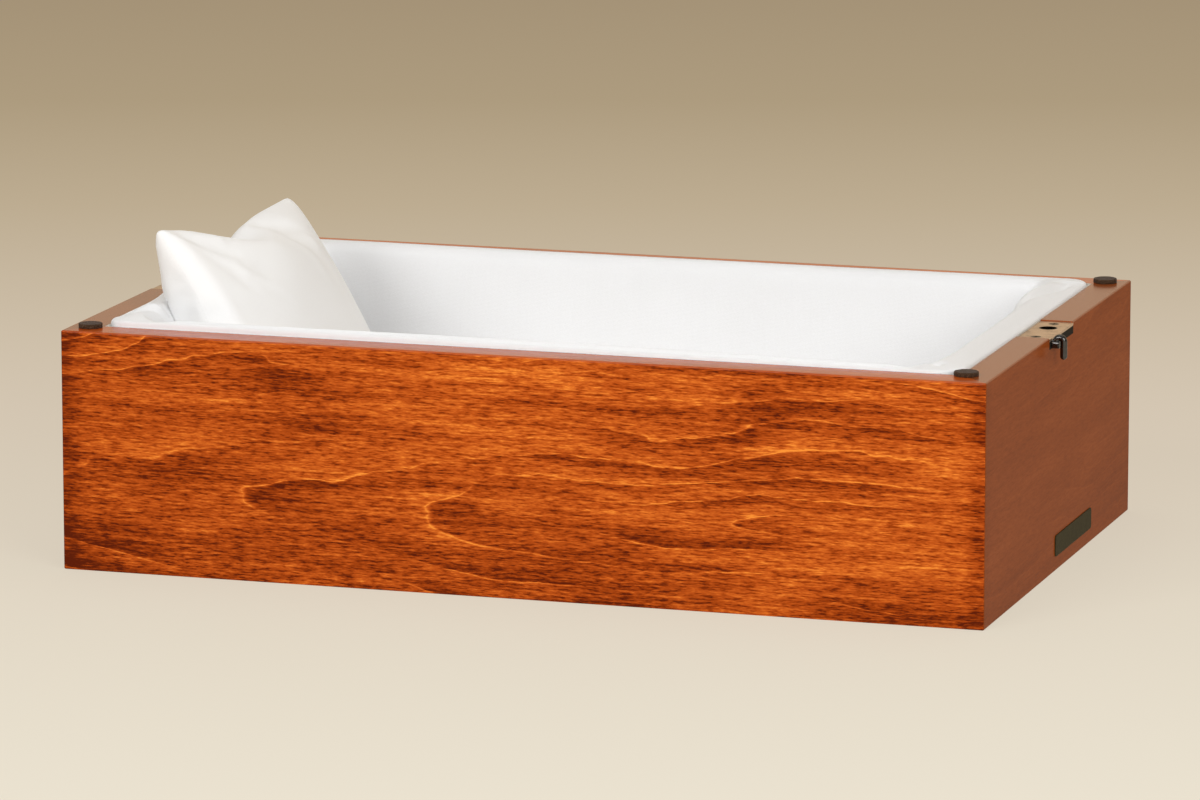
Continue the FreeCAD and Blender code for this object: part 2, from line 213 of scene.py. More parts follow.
def lacquered_wood(name, lengthwise, seed, figure_height, heart_depth, slope, stops, contrast):
    """Stained, lacquered flat-sawn board. The growth rings are cones round a heart line that
    runs along the board, heart_depth behind its face and nearer or further along its length."""
    shader = Shader(name, Roughness=0.5, Specular_IOR_Level=0.0, Coat_Roughness=0.2, Coat_IOR=1.3)
    if lengthwise == "x":
        along, across, edge = shader.x, abs(shader.y), OUTER_X - abs(shader.x)
        skin = OUTER_Y - across
    else:
        along, across, edge = shader.y, abs(shader.x), OUTER_Y - abs(shader.y)
        skin = OUTER_X - across
    up = shader.z
    sway = shader.noise(along * 5 + seed, up * 10, skin * 10, 1) - 0.5
    ripple = shader.noise(along * 30, up * 70 + seed, skin * 70, 2) - 0.5
    height = up - figure_height + sway * 0.06 + ripple * 0.007
    depth = skin + heart_depth + along * slope + sway * 0.014 + ripple * 0.004
    radius = (height ** 2 + depth ** 2) ** 0.5
    ring = (radius * RINGS_A_METRE).fraction()
    shown = shader.noise(along * 6, up * 22, skin * 22 + seed, 1).step(0.40, 0.60)
    line = (1 - abs(ring - 0.9) * 2).at_least(0) ** 20 * shown
    late = ring.step(0.1, 0.86) * (1 - ring.step(0.86, 0.9)) * shown

    blotch = shader.noise(along * 11, up * 30 + seed, skin * 30, 2) - 0.5
    band = shader.noise(along * 3.0 + seed, up * 60, skin * 60, 2) - 0.5
    streak = shader.noise(along * 24, up * 330, skin * 330 + seed, 3, 0.6) - 0.5
    fibre = shader.noise(along * 125 + seed, up * 900, skin * 900, 2, 0.65)
    fleck = fibre.step(0.50, 0.64)
    glint = (1 - fibre).step(0.52, 0.68)
    grit = shader.noise(along * 330, up * 1300, skin * 1300 + seed, 1) - 0.5
    rim = up.step(RIM - 1.1 * MM, RIM - 0.3 * MM)
    foot = 1 - up.step(0.010, 0.040)
    border = 1 - edge.step(0.003, 0.014)

    tone = blotch * 0.6 + band * 0.7 + streak * 1.0 + line * 0.42 - late * 0.24 + along * 0.3
    tone = tone - fleck * 0.31 + glint * 0.22 + grit * 0.42 - foot * 0.12 - border * 0.2
    tone = tone * (1 - rim * 0.75) * contrast
    shader.feed(
        Base_Color=shader.ramp(tone + 0.52, stops),
        Coat_Weight=rim * (1 - FACE_POLISH) + FACE_POLISH,
    )
    pore = shader.noise(along * 160, up * 1100, skin * 1100 + seed, 1).step(0.6, 0.75)
    shader.bump(sway * 0.4 - pore * 0.12 - fleck * 0.05, 0.0004, 0.35)
    return shader.material


def bare_wood(name, stops, grain):
    """Unstained wood; grain gives the cycles a metre along x, y and z."""
    shader = Shader(name, Roughness=0.75, Specular_IOR_Level=0.3)
    x, y, z = shader.x * grain[0], shader.y * grain[1], shader.z * grain[2]
    broad = shader.noise(x * 0.1, y * 0.1, z * 0.1, 2)
    fine = shader.noise(x, y, z, 3, 0.6)
    shader.feed(Base_Color=shader.ramp(broad * 0.5 + fine * 0.5, stops))
    shader.bump(fine, 0.0003, 0.5)
    return shader.material


THREAD = 0.6 * MM           # from one thread of the cloth to the next


def woven_cloth(name, colour, shade):
    """Soft plain weave. Its threads follow the cloth's own map, laid out in metres."""
    shader = Shader(name, Roughness=0.92, Specular_IOR_Level=0.2, Sheen_Weight=0.25,
                    Sheen_Roughness=0.5)
    flat = shader.node("ShaderNodeUVMap", {"uv_map": "weave"})
    u = shader.node("ShaderNodeSeparateXYZ", inputs={0: flat}, output=0)
    v = shader.node("ShaderNodeSeparateXYZ", inputs={0: flat}, output=1)
    slub = shader.noise(u * 300, v * 300, 0.0, 2) - 0.5
    thread = math.pi / THREAD
    warp = abs((u * thread + slub * 0.8).sine())
    weft = abs((v * thread + slub * 0.8).sine())
    over = ((u * thread * 0.5).sine() * (v * thread * 0.5).sine()).step(-0.25, 0.25)
    weave = warp * over + weft * (1 - over)
    nap = shader.noise(u * 900, v * 900, 0.0, 3, 0.65)
    tint = shader.noise(u * 22, v * 22, 1.0, 2)
    # painted shade: the cloth is coloured darker in the dips between its threads; the nap and the tint
    # vary its tone at random
    painted_shade_mix = (weave * 0.35 + nap * 0.4 + tint * 0.25).step(0.1, 0.8)
    shader.feed(Base_Color=shader.mix(painted_shade_mix, shade, colour))
    shader.bump(weave * 0.5 + nap * 0.8, 0.00022, 0.45)
    return shader.material


def felt(name):
    """Pressed dark wool with a few paler hairs."""
    shader = Shader(name, Roughness=1.0, Specular_IOR_Level=0.1, Sheen_Weight=0.1,
                    Sheen_Roughness=0.4)
    x, y, z = shader.x, shader.y, shader.z
    wool = shader.noise(x * 1500, y * 1500, z * 1500, 3, 0.7)
    hair = shader.noise(x * 500, y * 2600, z * 2600, 2) * shader.noise(x * 2600, y * 500, z * 2600, 2)
    stops = ((0.25, (0.010, 0.006, 0.003)), (0.55, (0.06, 0.031, 0.016)), (0.8, (0.19, 0.115, 0.07)))
    shader.feed(Base_Color=shader.ramp(wool * 0.8 + hair * 0.55, stops))
    shader.bump(wool + hair, 0.0005, 0.9)
    return shader.material


def aged_metal(name, stops, rough, metallic=1.0, shine=0.3, hole=False):
    """Plated metal, darkened unevenly, with brushing along y. A near-black ring of painted shade
    lies on the plating round a catch plate's pin hole, for the shade inside the hole."""
    shader = Shader(name, Metallic=metallic, Specular_IOR_Level=shine)
    x, y, z = shader.x, shader.y, shader.z
    cloud = shader.noise(x * 160, y * 160, z * 160, 3, 0.6)
    speck = shader.noise(x * 1400, y * 1400, z * 1400, 2)
    brush = shader.noise(x * 3000, y * 120, z * 3000, 2)
    colour = shader.ramp(cloud * 0.6 + speck * 0.25 + brush * 0.15, stops)
    if hole:
        across = abs(x) - HOLE_X
        along = y * x.math("SIGN", x) - HOLE_Y
        reach = (across ** 2 + along ** 2) ** 0.5
        # painted shade: a near-black ring on the plate round the pin hole
        painted_shade_mix = 1 - reach.step(HOLE_RADIUS + 0.1 * MM, HOLE_RADIUS + 0.9 * MM)
        colour = shader.mix(painted_shade_mix, colour, (0.008, 0.006, 0.005))
    shader.feed(Base_Color=colour, Roughness=cloud * 0.25 + brush * 0.1 + (rough - 0.17))
    shader.bump(brush * 0.4 + speck * 0.3, 0.00008, 0.5)
    return shader.material


def card_board(name):
    shader = Shader(name, Roughness=0.95, Specular_IOR_Level=0.1)
    pulp = shader.noise(shader.x * 900, shader.y * 900, shader.z * 900, 3, 0.65)
    shader.feed(Base_Color=shader.ramp(pulp, ((0.3, (0.5, 0.48, 0.44)), (0.7, (0.68, 0.66, 0.62)))))
    shader.bump(pulp, 0.0002, 0.4)
    return shader.material


def name_strip_paint(name):
    """Dark olive satin, slightly orange-peeled."""
    shader = Shader(name, Roughness=0.6, Specular_IOR_Level=0.06)
    peel = shader.noise(shader.x * 700, shader.y * 700, shader.z * 700, 2)
    stops = ((0.3, (0.030, 0.024, 0.008)), (0.7, (0.050, 0.041, 0.016)))
    shader.feed(Base_Color=shader.ramp(peel, stops))
    shader.bump(peel, 0.0001, 0.5)
    return shader.material


BRONZE = ((0.3, (0.22, 0.16, 0.11)), (0.5, (0.62, 0.46, 0.33)), (0.7, (0.76, 0.59, 0.44)))
DARK_BRONZE = ((0.3, (0.006, 0.005, 0.004)), (0.7, (0.028, 0.023, 0.017)))
SCREW_BRONZE = ((0.3, (0.03, 0.022, 0.014)), (0.7, (0.16, 0.12, 0.08)))
BLACK_NICKEL = ((0.3, (0.045, 0.043, 0.041)), (0.7, (0.12, 0.115, 0.11)))
STEEL = ((0.3, (0.45, 0.45, 0.45)), (0.7, (0.62, 0.62, 0.62)))
PLY_STOPS = ((0.3, (0.36, 0.22, 0.11)), (0.5, (0.52, 0.34, 0.18)), (0.7, (0.62, 0.44, 0.25)))


def paint_cad_nodes():
    """Gives every construction piece its finish."""
    dark_bronze = aged_metal("dark bronze", DARK_BRONZE, 0.6, metallic=0.0, shine=0.03)
    finishes = {
        "front_board": lacquered_wood("front wood", "x", 3.7, 0.048, 0.0245, -0.115, WARM_STOPS, 1.0),
        "back_board": lacquered_wood("back wood", "x", 11.2, 0.082, 0.020, 0.090, WARM_STOPS, 1.0),
        # the end boards take the painted shade stops, and fainter grain
        "left_end_board": lacquered_wood("left wood", "y", 23.5, 0.060, 0.030, 0.060, END_SHADE_STOPS, 0.35),
        "right_end_board": lacquered_wood("right wood", "y", 41.9, 0.075, 0.040, -0.05, END_SHADE_STOPS, 0.3),
        "bottom_board": bare_wood("plywood", PLY_STOPS, (40, 600, 600)),
        "liner_card": card_board("liner card"),
        "liner_staples": aged_metal("staple wire", STEEL, 0.35),
        "corner_spline": bare_wood("spline wood", PLY_STOPS, (500, 500, 60)),
        "blank_name_strip": name_strip_paint("name strip paint"),
        "catch_plate": aged_metal("aged bronze", BRONZE, 0.42, hole=True),
        "catch_tray": dark_bronze,
        "catch_bolt": dark_bronze,
        "catch_finger": aged_metal("black nickel", BLACK_NICKEL, 0.18),
        "catch_screws": aged_metal("screw bronze", SCREW_BRONZE, 0.4),
    }
    for node_name, node in frame["nodes"].items():
        for part, material in finishes.items():
            if part in node_name:
                for slot in node.material_slots:
                    slot.material = material


# ---------------------------------------------------------------- mesh helpers

def put_in_order(mesh):
    """Gives the mesh's elements one fixed order, so that its cloth folds alike each time."""
    def place(vertex):
        return tuple(vertex.co)

    def corners(element):
        return sorted(vertex.index for vertex in element.verts)

    for elements, key in ((mesh.verts, place), (mesh.edges, corners), (mesh.faces, corners)):
        for index, element in enumerate(sorted(elements, key=key)):
            element.index = index
        elements.sort()


def finished(mesh, name, material):
    """Turns a bmesh into a piece at the origin."""
    bmesh.ops.recalc_face_normals(mesh, faces=mesh.faces)
    put_in_order(mesh)
    for face in mesh.faces:
        face.smooth = True
    data = bpy.data.meshes.new(name)
    mesh.to_mesh(data)
    mesh.free()
    data.materials.append(material)
    piece = bpy.data.objects.new(name, data)
    scene.collection.objects.link(piece)
    return piece


def softened(piece):
    modifier = piece.modifiers.new("softened", "SUBSURF")
    modifier.levels = 1
    modifier.render_levels = 1


def lay_out_weave(mesh):
    """Records where each corner of the cloth lies while it's still flat."""
    layer = mesh.loops.layers.uv.new("weave")
    for face in mesh.faces:
        for loop in face.loops:
            loop[layer].uv = loop.vert.co.xy


def swell(centre, width, value):
    """1 at centre, fading to 0 over about two widths."""
    return math.exp(-((value - centre) / width) ** 2)


def ease(low, high, value):
    share = min(max((value - low) / (high - low), 0.0), 1.0)
    return share * share * (3 - 2 * share)


CLOTH_STEPS = 8             # steps of the simulation in each frame
CLOTH_MASS = 0.3
CLOTH_STRETCH = 25          # stiffness against stretching, and against shear
CLOTH_SHEAR = 12


def blown_up(piece, pressure, frames, most, bending):
    """Fills a closed cloth piece with air, and lets no point move further than most."""
    cloth = piece.modifiers.new("air", "CLOTH")
    cloth.settings.quality = CLOTH_STEPS
    cloth.settings.mass = CLOTH_MASS
    cloth.settings.tension_stiffness = CLOTH_STRETCH
    cloth.settings.compression_stiffness = CLOTH_STRETCH
    cloth.settings.shear_stiffness = CLOTH_SHEAR
    cloth.settings.bending_stiffness = bending
    cloth.settings.use_pressure = True
    cloth.settings.uniform_pressure_force = pressure
    cloth.settings.effector_weights.gravity = 0
    cloth.collision_settings.use_collision = False
    cloth.point_cache.frame_start = 1
    cloth.point_cache.frame_end = frames
    flat = [vertex.co.copy() for vertex in piece.data.vertices]
    for number in range(1, frames + 1):
        scene.frame_set(number)
    graph = bpy.context.evaluated_depsgraph_get()
    full = [vertex.co.copy() for vertex in piece.evaluated_get(graph).data.vertices]
    piece.modifiers.remove(cloth)
    for vertex, start, end in zip(piece.data.vertices, flat, full):
        move = end - start
        if move.length > most:
            move = move.normalized() * most
        vertex.co = start + move
    scene.frame_set(1)


# ---------------------------------------------------------------- lining of the walls

COLUMNS = 400           # faces round the lining, a quarter of them on each side
ROWS = 44               # faces round its section
TURN_SHARE = 0.12       # share of each side's columns that turn its corner
GAP = 0.3 * MM          # from the cloth to the wood
SIDE_FULL = 10 * MM     # how far the padding stands out from the boards
END_FULL = 20.5 * MM
OUTER_TURNS = (17 * MM, 10 * MM, 10 * MM, 9 * MM)      # front right, then on round
INNER_TURN = 16 * MM
UP_SHARE, OVER_SHARE, DOWN_SHARE = 0.2, 0.62, 0.94      # ends of the back, the top and the face


def round_trip(share, half_x, half_y, turns):
    """A point on a rectangle with rounded corners; share runs 0 to 4 from the front left."""
    side = int(share) % 4
    part = share - int(share)
    corners = [Vector((-1, -1)), Vector((1, -1)), Vector((1, 1)), Vector((-1, 1))]
    ways = [Vector((1, 0)), Vector((0, 1)), Vector((-1, 0)), Vector((0, -1))]
    half = Vector((half_x, half_y))
    start_turn, end_turn = turns[side - 1], turns[side]
    start = corners[side] * half + ways[side] * start_turn
    end = corners[(side + 1) % 4] * half - ways[side] * end_turn
    straight = 1 - TURN_SHARE
    if part <= straight:
        return start.lerp(end, part / straight)
    angle = (part - straight) / TURN_SHARE * math.pi / 2
    inward = ways[(side + 1) % 4]
    return end + (ways[side] * math.sin(angle) + inward * (1 - math.cos(angle))) * end_turn


def end_fullness(side, y):
    """Padding of an end wall beyond its usual depth."""
    if side > 0:
        return 10 * MM * swell(0.098, 0.05, y) + 5 * MM * swell(-0.132, 0.022, y)
    return 6 * MM * swell(-0.110, 0.02, y)


def pillow_press(side, y):
    """How far the pillow presses the left end's padding back."""
    return 0.0 if side > 0 else 16.5 * MM * (1 - ease(0.046, 0.086, abs(y + 0.006)))


def crest_rise(x, y):
    """How far an end's padding stands above its edge, part of the way in."""
    if x > 0:
        return (4.0 - 2.0 * swell(0.135, 0.04, y) - 1.0 * swell(-0.13, 0.03, y)) * MM
    return 3.0 * MM


def lining_creases(x, y):
    """Height of the folds in the cloth's top, and of the tucks beside them."""
    lift = 0.0
    if y < 0 and abs(x) < INNER_X - 20 * MM:
        inward = y + INNER_Y
        fade = 1 - ease(INNER_X - 45 * MM, INNER_X - 22 * MM, abs(x))
        lift += (2.9 * MM * swell(7.4 * MM, 2.2 * MM, inward)
                 - 2.4 * MM * swell(4.4 * MM, 1.2 * MM, inward)) * fade
    if x > INNER_X - 60 * MM:
        inset = INNER_X - x
        near = ease(-0.012, 0.03, y) * (1 - ease(0.118, 0.136, y))
        valley = 21 * MM - 12 * MM * ease(0.05, 0.142, y)
        lift -= 3.4 * MM * swell(valley, 2.8 * MM, inset) * near
        lift += 1.3 * MM * swell(valley + 7 * MM, 4 * MM, inset) * near
        tuck = Vector((x - (INNER_X - 17 * MM), y + INNER_Y - 13 * MM)).length
        lift -= 3.6 * MM * swell(0, 3.4 * MM, tuck)
    if x < -INNER_X + 60 * MM:
        inset = x + INNER_X
        for y_place, lean in ((-0.126, 0.5), (-0.098, -0.35), (-0.072, 0.3)):
            lift -= 3.2 * MM * swell(y_place + lean * inset, 3.6 * MM, y) * ease(0.001, 0.012, inset)
        lift += 3.0 * MM * swell(-0.112, 0.010, y) * swell(14 * MM, 9 * MM, inset)
    return lift


def top_rise(x, y):
    """How far the cloth's edge stands above the rim."""
    if y < -INNER_Y + SIDE_FULL:
        return 3.4 * MM - 1.8 * MM * ease(-0.1, 0.24, x)
    if y > INNER_Y - SIDE_FULL:
        return 2.5 * MM
    return 2.8 * MM if x < 0 else 1.7 * MM


def lining_point(share, turn):
    """Where the lining lies, for a place round the case and a place round its section."""
    outer = round_trip(share, INNER_X - GAP, INNER_Y - GAP, OUTER_TURNS)
    inner = round_trip(share, INNER_X - END_FULL, INNER_Y - SIDE_FULL, [INNER_TURN] * 4)
    end_side = 1 if inner.x > 0 else -1
    endness = ease(INNER_X - END_FULL - 22 * MM, INNER_X - END_FULL - 2 * MM, abs(inner.x))
    inner.x -= end_side * end_fullness(end_side, inner.y) * endness
    foot = inner.copy()
    inner.x += end_side * pillow_press(end_side, inner.y) * endness
    wander = noise.noise(Vector((outer.x * 14, outer.y * 14, 3.3)))
    crest = crest_rise(inner.x, inner.y) * endness
    drop = 5.5 * MM + 7.5 * MM * endness
    if turn < UP_SHARE:
        behind = outer.lerp(inner, 0.1)
        rise = turn / UP_SHARE
        return Vector((*behind, PAD_FOOT + (RIM - 2 * MM - PAD_FOOT) * rise))
    if turn < OVER_SHARE:
        part = (turn - UP_SHARE) / (OVER_SHARE - UP_SHARE)
        reach = part ** 1.35
        place = outer.lerp(inner, reach)
        roll = 3.2 * MM / max((inner - outer).length, MM)
        rise = top_rise(outer.x, outer.y) + 0.35 * MM * wander
        high = rise * math.sqrt(1 - (1 - min(reach / roll, 1.0)) ** 2)
        high += crest * ease(0.0, 0.75, reach)
        fall = drop * max((reach - roll) / (1 - roll), 0.0) ** (2.4 + 3 * endness)
        crease = lining_creases(place.x, place.y) * min(reach * 4, 1.0)
        return Vector((*place, RIM + high - fall + crease))
    if turn < DOWN_SHARE:
        part = (turn - OVER_SHARE) / (DOWN_SHARE - OVER_SHARE)
        face = inner.lerp(foot, ease(0.35, 0.75, part))
        place = outer.lerp(face, 1 + 0.02 * math.sin(math.pi * part) * (1 + wander))
        pleat = noise.noise(Vector((outer.x * 40, outer.y * 40, part * 1.5)))
        place += (inner - outer).normalized() * pleat * 0.7 * MM * math.sin(math.pi * part)
        top = RIM + top_rise(outer.x, outer.y) + crest - drop + lining_creases(inner.x, inner.y)
        return Vector((*place, top + (PAD_FOOT + 2 * MM - top) * part))
    part = (turn - DOWN_SHARE) / (1 - DOWN_SHARE)
    return Vector((*foot.lerp(outer, 0.9 * part), PAD_FOOT))


def wall_lining(cloth):
    """One cloth over the padding of the four walls, closed behind and below."""
    mesh = bmesh.new()
    bmesh.ops.create_grid(mesh, x_segments=COLUMNS, y_segments=ROWS, size=1)
    layer = mesh.loops.layers.uv.new("weave")
    around, section = 2 * (INNER_X + INNER_Y) / 4, 2 * RIM
    for face in mesh.faces:
        for loop in face.loops:
            share, turn = (loop.vert.co.x + 1) * 2, (loop.vert.co.y + 1) / 2
            loop[layer].uv = (share * 2 * around, turn * section)
    for vertex in mesh.verts:
        share, turn = (vertex.co.x + 1) * 2, (vertex.co.y + 1) / 2
        vertex.co = lining_point(min(share, 4 - 1e-9) % 4, turn)
    bmesh.ops.remove_doubles(mesh, verts=mesh.verts, dist=0.02 * MM)
    piece = finished(mesh, "wall_lining", cloth)
    softened(piece)
    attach(piece, "base")
    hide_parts("front_liner_pad", "back_liner_pad", "left_liner_pad", "right_liner_pad")


# ---------------------------------------------------------------- bed pad

BED_SNUG = 1.2 * MM         # how far it presses into the lining all round
BED_EDGE = 7 * MM           # how much thinner it's cut than it is when it's full
BED_CELL = 5.5 * MM


def bed_pad(cloth):
    """A flat pad that fills the floor, puffed up between its edges."""
    low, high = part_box("bed_pad")
    size = high - low + Vector((2 * BED_SNUG, 2 * BED_SNUG, 0))
    mesh = bmesh.new()
    across, along = round(size.x / BED_CELL), round(size.y / BED_CELL)
    bmesh.ops.create_grid(mesh, x_segments=across, y_segments=along, size=0.5)
    bmesh.ops.scale(mesh, verts=mesh.verts, vec=(size.x, size.y, 1))
    lay_out_weave(mesh)
    bmesh.ops.solidify(mesh, geom=mesh.faces, thickness=size.z - BED_EDGE)
    piece = finished(mesh, "bed_pad_cloth", cloth)
    blown_up(piece, pressure=3.0, frames=20, most=5 * MM, bending=0.5)
    fit_to(piece, low - Vector((BED_SNUG, BED_SNUG, 0)), high + Vector((BED_SNUG, BED_SNUG, 0)))
    softened(piece)
    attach(piece, "base")
    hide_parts("bed_pad")


def fit_to(piece, low, high):
    """Stretches a piece so that it fills the box from low to high."""
    vertices = piece.data.vertices
    for axis in range(3):
        start = min(vertex.co[axis] for vertex in vertices)
        end = max(vertex.co[axis] for vertex in vertices)
        for vertex in vertices:
            share = (vertex.co[axis] - start) / (end - start)
            vertex.co[axis] = low[axis] + share * (high[axis] - low[axis])


# ---------------------------------------------------------------- pillow

PILLOW_CUT = Vector((196 * MM, 157.5 * MM))     # size of each panel before it's filled
PILLOW_CELL = 3.6 * MM
PILLOW_SEAM = 2 * MM            # thickness at the sewn edge
PILLOW_DIP = 5.5 * MM           # how far the head edge dips between the corners
PILLOW_BULGE = 5 * MM           # how far the far side is cut out round
PILLOW_UNEVEN = 0.8 * MM        # unevenness of the filling, which starts its folds
PILLOW_LEAN = math.radians(30)
PILLOW_ROLL = math.radians(-4.0)
PILLOW_FULL = 60 * MM
PILLOW_BACK_FULL = 1.55         # how much fuller its back is than its front
PILLOW_FRONT_SQUARE = 0.84      # under 1 fills the front out near its edges
PILLOW_FAR_WIDE = 1.06          # how much wider its half towards the back of the case is
PILLOW_PRESS = 23.5 * MM        # how far it sinks into the end's padding
PILLOW_FORWARD = 7.5 * MM       # how far it lies towards the front
PILLOW_DENT = Vector((-4 * MM, 68 * MM))        # the dent in its head edge
DENT_REACH = 52 * MM            # how far round the dent the cloth is smoothed
FRONT_START = 4 * MM            # height above the seam at which the front face starts
PILLOW_FOLDS = ((94, 0.7), (82, -0.7), (70, 0.7), (57, -0.7), (44, 0.5))    # degrees, height in mm


def pillow_outline(mesh):
    """The head edge dips between its corners, and the far side is cut out round."""
    half = PILLOW_CUT / 2
    for vertex in mesh.verts:
        u, v = vertex.co.x / half.x, vertex.co.y / half.y
        vertex.co.y -= PILLOW_DIP * swell(-0.14, 0.38, u) * ease(0.3, 1.0, v)
        vertex.co.x += PILLOW_BULGE * (1 - v * v) * ease(0.3, 1.0, u)


def pillow(cloth):
    """Two panels sewn round the edge and filled, leaning on the head end."""
    mesh = bmesh.new()
    across, up = round(PILLOW_CUT.x / PILLOW_CELL), round(PILLOW_CUT.y / PILLOW_CELL)
    bmesh.ops.create_grid(mesh, x_segments=across, y_segments=up, size=0.5)
    bmesh.ops.scale(mesh, verts=mesh.verts, vec=(PILLOW_CUT.x, PILLOW_CUT.y, 1))
    lay_out_weave(mesh)
    pillow_outline(mesh)
    bmesh.ops.solidify(mesh, geom=mesh.faces, thickness=PILLOW_SEAM)
    centre = sum((vertex.co.z for vertex in mesh.verts)) / len(mesh.verts)
    bmesh.ops.translate(mesh, verts=mesh.verts, vec=(0, 0, -centre))
    half = PILLOW_CUT / 2
    for vertex in mesh.verts:
        u, v = vertex.co.x / half.x, vertex.co.y / half.y
        lens = max(0.0, (1 - u * u) * (1 - v * v))
        vertex.co.z *= 1 + 5 * lens
        vertex.co.z += PILLOW_UNEVEN * noise.noise(vertex.co * 28) * lens
    piece = finished(mesh, "pillow_cloth", cloth)
    blown_up(piece, pressure=4.0, frames=24, most=45 * MM, bending=0.3)
    place_pillow(piece)
    softened(piece)
    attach(piece, "pillow")
    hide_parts("pillow")


def smooth_dent(piece):
    """Takes the pinch out of the cloth below the dent."""
    mesh = bmesh.new()
    mesh.from_mesh(piece.data)
    near = [vertex for vertex in mesh.verts
            if vertex.co.z > FRONT_START and (vertex.co.xy - PILLOW_DENT).length < DENT_REACH]
    for pass_number in range(10):
        bmesh.ops.smooth_vert(mesh, verts=near, factor=0.5,
                              use_axis_x=True, use_axis_y=True, use_axis_z=True)
    mesh.to_mesh(piece.data)
    mesh.free()


def crease_pillow(vertex):
    """Low folds in the front that fan out from the dent towards the back of the case."""
    away = vertex.co.xy - PILLOW_DENT
    angle = math.degrees(math.atan2(away.x, -away.y))
    reach = ease(8 * MM, 26 * MM, away.length) * (1 - ease(45 * MM, 95 * MM, away.length))
    for place, height in PILLOW_FOLDS:
        vertex.co.z += height * MM * swell(place, 5.5, angle + 120 * away.length) * reach


def place_pillow(piece):
    """Leans the pillow back and sets it on the bed, against the end."""
    low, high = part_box("pillow")
    smooth_dent(piece)
    vertices = piece.data.vertices
    front = max(v.co.z for v in vertices)
    thick = front - min(v.co.z for v in vertices)
    fuller = PILLOW_FULL / thick
    up = Vector((-math.sin(PILLOW_LEAN), 0, math.cos(PILLOW_LEAN)))
    across = Vector((0, 1, 0))
    out = across.cross(up)
    turn = Matrix((across, up, out)).transposed() @ Matrix.Rotation(PILLOW_ROLL, 3, "Z")
    for vertex in vertices:
        if vertex.co.z > FRONT_START:
            crease_pillow(vertex)
        if vertex.co.z > 0:
            vertex.co.z = fuller * front * (vertex.co.z / front) ** PILLOW_FRONT_SQUARE
        else:
            vertex.co.z *= fuller * PILLOW_BACK_FULL
        if vertex.co.x > 0:
            vertex.co.x *= PILLOW_FAR_WIDE
        vertex.co = turn @ vertex.co
    seat = Vector((
        low.x - PILLOW_PRESS - min(v.co.x for v in vertices),
        (low.y + high.y) / 2 - PILLOW_FORWARD,
        low.z - min(v.co.z for v in vertices),
    ))
    for vertex in vertices:
        vertex.co += seat


# ---------------------------------------------------------------- felt bumpers

FELT_RINGS = 4              # rings of faces on its two flat sides
FELT_RING = 1.4 * MM
FELT_EDGE = 0.6 * MM


def felt_bumper(label, wool):
    """A felt disc with a soft, uneven edge."""
    low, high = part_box("bumper_" + label)
    middle = (low + high) / 2
    radius = (high.x - low.x) / 2
    mesh = bmesh.new()
    bmesh.ops.create_cone(mesh, cap_ends=True, segments=64, radius1=radius, radius2=radius,
                          depth=high.z - low.z)
    rims = [edge for edge in mesh.edges if abs(edge.verts[0].co.z - edge.verts[1].co.z) < MM / 10]
    bmesh.ops.bevel(mesh, geom=rims, offset=FELT_EDGE, segments=3, affect="EDGES", profile=0.5,
                    material=-1)
    caps = [face for face in mesh.faces if len(face.verts) > 8]
    for ring in range(FELT_RINGS):
        bmesh.ops.inset_region(mesh, faces=caps, thickness=FELT_RING)
    uprights = [edge for edge in mesh.edges if abs(edge.verts[0].co.z - edge.verts[1].co.z) > MM]
    bmesh.ops.subdivide_edges(mesh, edges=uprights, cuts=3, use_grid_fill=True)
    bmesh.ops.triangulate(mesh, faces=[face for face in mesh.faces if len(face.verts) > 4])
    for vertex in mesh.verts:
        place = vertex.co + middle
        vertex.co *= 1 + 0.035 * noise.noise(place * 900) + 0.02 * noise.noise(place * 2600)
        vertex.co.z = max(vertex.co.z, low.z - middle.z + 0.02 * MM)
        vertex.co += middle
    piece = finished(mesh, "felt_" + label, wool)
    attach(piece, "base")
    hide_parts("bumper_" + label)


# ---------------------------------------------------------------- studio

CAMERA_YAW = math.radians(17.35)
CAMERA_PITCH = math.radians(10.9)
CAMERA_DISTANCE = 4.253
CAMERA_ASIDE = (-0.0034, 0.0794)        # to the right and up, in the camera's own directions
CAMERA_LENS = 223.3

# Painted light: the floor's colour grows darker and tanner away from the camera, for the studio light
# falling off across it.
FLOOR_STOPS = (
    (0.0, (0.90, 0.84, 0.71)),
    (0.19, (0.83, 0.756, 0.626)),
    (0.35, (0.748, 0.650, 0.521)),
    (0.58, (0.587, 0.482, 0.337)),
    (0.73, (0.49, 0.39, 0.254)),
    (1.0, (0.42, 0.325, 0.21)),
)
FLOOR_START = -0.8
FLOOR_REACH = 3.4
FLOOR_HALF = 14
FLOOR_DROP = 0.05 * MM          # just below the case, so that the two don't meet
FLOOR_OWN_LIGHT = 0.72          # how much of its brightness doesn't come from the lamps
FLOOR_LIT = 0.22                # and how much of its colour takes their light and the shadow

ROOM_STOPS = ((0.0, (0.26, 0.255, 0.25)), (0.5, (0.28, 0.27, 0.25)), (1.0, (0.82, 0.66, 0.46)))
LAMPS = (
    # name, place, size, watts
    ("key", (-0.9, -3.2, 1.8), (2.2, 1.6), 63),
    ("fill", (2.4, -2.4, 1.6), (1.8, 1.4), 54),
    ("top", (0.1, 0.2, 2.6), (2.4, 2.0), 10),
)


def camera():
    sin, cos = math.sin, math.cos
    ahead = Vector((-sin(CAMERA_YAW) * cos(CAMERA_PITCH), cos(CAMERA_YAW) * cos(CAMERA_PITCH),
                    -sin(CAMERA_PITCH)))
    right = Vector((cos(CAMERA_YAW), sin(CAMERA_YAW), 0))
    up = right.cross(ahead)
    data = bpy.data.cameras.new("camera")
    data.lens = CAMERA_LENS
    data.clip_end = 100
    eye = bpy.data.objects.new("camera", data)
    eye.location = right * CAMERA_ASIDE[0] + up * CAMERA_ASIDE[1] - ahead * CAMERA_DISTANCE
    eye.rotation_euler = Matrix((right, up, -ahead)).transposed().to_euler()
    scene.collection.objects.link(eye)
    scene.camera = eye


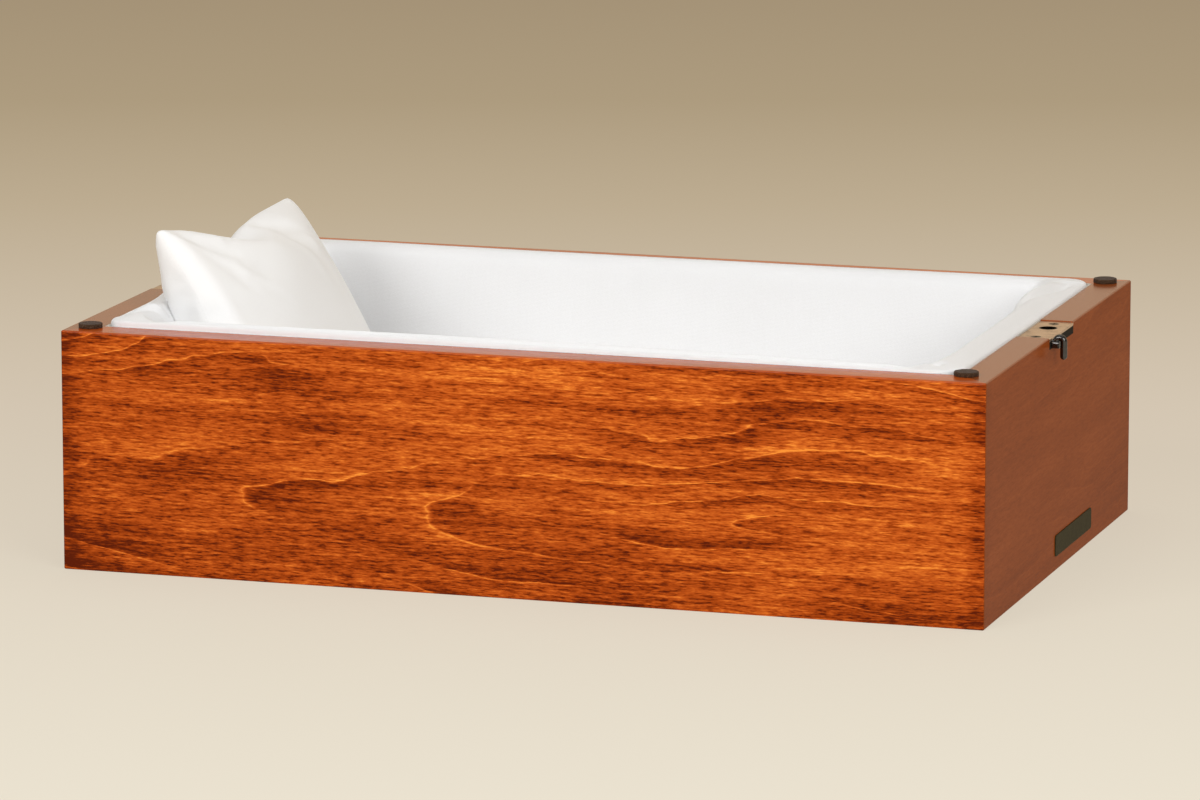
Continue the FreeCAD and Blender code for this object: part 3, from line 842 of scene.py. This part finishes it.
def floor():
    shader = Shader("floor", Roughness=1.0, Specular_IOR_Level=0.0,
                    Emission_Strength=FLOOR_OWN_LIGHT)
    # painted light: the colour darkens away from the camera, and most of it is the floor's own glow
    away = shader.y * math.cos(CAMERA_YAW) - shader.x * math.sin(CAMERA_YAW)
    colour = shader.ramp((away - FLOOR_START) / FLOOR_REACH, FLOOR_STOPS)
    dimmer = shader.mix(FLOOR_LIT, (0, 0, 0), colour)
    shader.feed(Base_Color=dimmer, Emission_Color=colour)
    mesh = bmesh.new()
    bmesh.ops.create_grid(mesh, x_segments=1, y_segments=1, size=FLOOR_HALF)
    data = bpy.data.meshes.new("floor")
    mesh.to_mesh(data)
    mesh.free()
    data.materials.append(shader.material)
    ground = bpy.data.objects.new("floor", data)
    ground.location.z = -FLOOR_DROP
    scene.collection.objects.link(ground)


def soft_light(name, place, size, watts):
    data = bpy.data.lights.new(name, "AREA")
    data.shape = "RECTANGLE"
    data.size, data.size_y = size
    data.energy = watts
    lamp = bpy.data.objects.new(name, data)
    lamp.location = place
    lamp.rotation_euler = (-Vector(place)).to_track_quat("-Z", "Y").to_euler()
    scene.collection.objects.link(lamp)


def studio():
    """A dim room, with a warm tan wall behind the case."""
    world = bpy.data.worlds.new("studio")
    nodes = Nodes(world)
    way = nodes.node("ShaderNodeTexCoord", output="Generated")
    behind = nodes.node("ShaderNodeSeparateXYZ", inputs={0: way}, output="Y")
    colour = nodes.ramp(behind * 0.5 + 0.5, ROOM_STOPS)
    room = nodes.node("ShaderNodeBackground", inputs={"Color": colour})
    nodes.end_in("ShaderNodeOutputWorld", room.socket)
    scene.world = world
    for lamp in LAMPS:
        soft_light(*lamp)


# ---------------------------------------------------------------- build

paint_cad_nodes()
white_cloth = woven_cloth("white cloth", (0.895, 0.90, 0.91), (0.81, 0.81, 0.815))
wall_lining(white_cloth)
bed_pad(white_cloth)
pillow(woven_cloth("pillow cloth", (0.945, 0.95, 0.955), (0.88, 0.88, 0.885)))
wool = felt("felt")
for label in ("front_left", "front_right", "back_left", "back_right"):
    felt_bumper(label, wool)
floor()
studio()
camera()
scene.view_settings.view_transform = "Standard"
